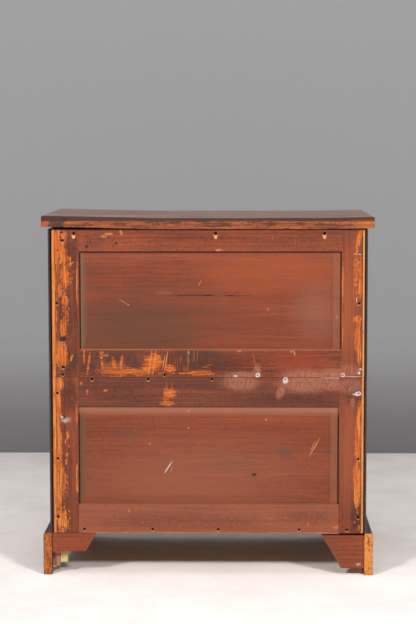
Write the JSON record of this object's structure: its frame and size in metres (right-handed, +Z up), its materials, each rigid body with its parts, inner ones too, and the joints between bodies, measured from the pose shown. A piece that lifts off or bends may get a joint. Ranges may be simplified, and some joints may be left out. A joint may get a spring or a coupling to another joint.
{
  "type": "chest of drawers",
  "caption": "Antique mahogany chest of drawers on a bracket plinth, with sliding drawers, swinging brass bail handles and a screwed two-part framed and panelled back.",
  "frame": {"origin": "on the floor, at the middle of the overall box", "axes": "+Z up; the drawers face -Y and open towards it; the framed back faces +Y; +X is the chest's right-hand side as seen from its front"},
  "size_m": [0.8534, 0.4984, 0.926],
  "materials": {
    "polished_mahogany": "dark red-brown mahogany, aged polish, semi-gloss",
    "stained_back_wood": "thin red-brown stain, satin, worn to bare orange wood along the edges",
    "carcass_softwood": "unfinished pine, darkened with age",
    "drawer_lining": "unfinished oak, dry and matt",
    "old_glue_block": "rough old softwood, matt",
    "new_softwood": "fresh sawn pine, matt",
    "brass": "cast brass, aged, softly polished",
    "steel_screw": "dark oxidised steel"
  },
  "bodies": {
    "carcass": {"back_battens": "carcass_softwood", "back_screws": "steel_screw", "bottom_board": "carcass_softwood", "drawer_runners": "carcass_softwood", "drawer_stops": "carcass_softwood", "dust_boards": "carcass_softwood", "foot_glue_blocks": "old_glue_block", "front_rails": "polished_mahogany", "left_side": "polished_mahogany", "lower_back_panel": "stained_back_wood", "lower_back_rails": "stained_back_wood", "lower_back_stiles": "stained_back_wood", "new_glue_block": "new_softwood", "plinth_front": "polished_mahogany", "plinth_left": "polished_mahogany", "plinth_right": "polished_mahogany", "pocket_screws": "steel_screw", "rear_left_bracket": "stained_back_wood", "rear_rails": "carcass_softwood", "rear_right_bracket": "stained_back_wood", "right_side": "polished_mahogany", "short_drawer_partition": "polished_mahogany", "top_board": "polished_mahogany", "upper_back_bottom_rail": "stained_back_wood", "upper_back_panel": "stained_back_wood", "upper_back_stiles": "stained_back_wood", "upper_back_top_rail": "stained_back_wood"},
    "short_left_drawer": {"short_left_drawer_front": "polished_mahogany", "short_left_drawer_sides": "drawer_lining", "short_left_drawer_back": "drawer_lining", "short_left_drawer_bottom": "drawer_lining", "short_left_handle_pommels": "brass"},
    "short_left_bail": {"short_left_bail": "brass"},
    "short_right_drawer": {"short_right_drawer_front": "polished_mahogany", "short_right_drawer_sides": "drawer_lining", "short_right_drawer_back": "drawer_lining", "short_right_drawer_bottom": "drawer_lining", "short_right_handle_pommels": "brass"},
    "short_right_bail": {"short_right_bail": "brass"},
    "top_long_drawer": {"top_long_drawer_front": "polished_mahogany", "top_long_drawer_sides": "drawer_lining", "top_long_drawer_back": "drawer_lining", "top_long_drawer_bottom": "drawer_lining", "top_long_handle_pommels": "brass"},
    "top_long_left_bail": {"top_long_left_bail": "brass"},
    "top_long_right_bail": {"top_long_right_bail": "brass"},
    "middle_long_drawer": {"middle_long_drawer_front": "polished_mahogany", "middle_long_drawer_sides": "drawer_lining", "middle_long_drawer_back": "drawer_lining", "middle_long_drawer_bottom": "drawer_lining", "middle_long_handle_pommels": "brass"},
    "middle_long_left_bail": {"middle_long_left_bail": "brass"},
    "middle_long_right_bail": {"middle_long_right_bail": "brass"},
    "bottom_long_drawer": {"bottom_long_drawer_front": "polished_mahogany", "bottom_long_drawer_sides": "drawer_lining", "bottom_long_drawer_back": "drawer_lining", "bottom_long_drawer_bottom": "drawer_lining", "bottom_long_handle_pommels": "brass"},
    "bottom_long_left_bail": {"bottom_long_left_bail": "brass"},
    "bottom_long_right_bail": {"bottom_long_right_bail": "brass"}
  },
  "joints": [
    {"name": "short_left_drawer_slide", "type": "slide", "parent": "carcass", "child": "short_left_drawer", "axis": [0, -1, 0], "range_m": [0, 0.34]},
    {"name": "short_left_bail_hinge", "type": "hinge", "parent": "short_left_drawer", "child": "short_left_bail", "pos_m": [-0.20075, -0.24075, 0.80878], "axis": [-1, 0, 0], "range_deg": [-17, 196]},
    {"name": "short_right_drawer_slide", "type": "slide", "parent": "carcass", "child": "short_right_drawer", "axis": [0, -1, 0], "range_m": [0, 0.34]},
    {"name": "short_right_bail_hinge", "type": "hinge", "parent": "short_right_drawer", "child": "short_right_bail", "pos_m": [0.20075, -0.24075, 0.80878], "axis": [-1, 0, 0], "range_deg": [-17, 196]},
    {"name": "top_long_drawer_slide", "type": "slide", "parent": "carcass", "child": "top_long_drawer", "axis": [0, -1, 0], "range_m": [0, 0.34]},
    {"name": "top_long_left_bail_hinge", "type": "hinge", "parent": "top_long_drawer", "child": "top_long_left_bail", "pos_m": [-0.20075, -0.24075, 0.62202], "axis": [-1, 0, 0], "range_deg": [-17, 196]},
    {"name": "top_long_right_bail_hinge", "type": "hinge", "parent": "top_long_drawer", "child": "top_long_right_bail", "pos_m": [0.20075, -0.24075, 0.62202], "axis": [-1, 0, 0], "range_deg": [-17, 196]},
    {"name": "middle_long_drawer_slide", "type": "slide", "parent": "carcass", "child": "middle_long_drawer", "axis": [0, -1, 0], "range_m": [0, 0.34]},
    {"name": "middle_long_left_bail_hinge", "type": "hinge", "parent": "middle_long_drawer", "child": "middle_long_left_bail", "pos_m": [-0.20075, -0.24075, 0.42915], "axis": [-1, 0, 0], "range_deg": [-17, 196]},
    {"name": "middle_long_right_bail_hinge", "type": "hinge", "parent": "middle_long_drawer", "child": "middle_long_right_bail", "pos_m": [0.20075, -0.24075, 0.42915], "axis": [-1, 0, 0], "range_deg": [-17, 196]},
    {"name": "bottom_long_drawer_slide", "type": "slide", "parent": "carcass", "child": "bottom_long_drawer", "axis": [0, -1, 0], "range_m": [0, 0.34]},
    {"name": "bottom_long_left_bail_hinge", "type": "hinge", "parent": "bottom_long_drawer", "child": "bottom_long_left_bail", "pos_m": [-0.20075, -0.24075, 0.22965], "axis": [-1, 0, 0], "range_deg": [-17, 196]},
    {"name": "bottom_long_right_bail_hinge", "type": "hinge", "parent": "bottom_long_drawer", "child": "bottom_long_right_bail", "pos_m": [0.20075, -0.24075, 0.22965], "axis": [-1, 0, 0], "range_deg": [-17, 196]}
  ]
}
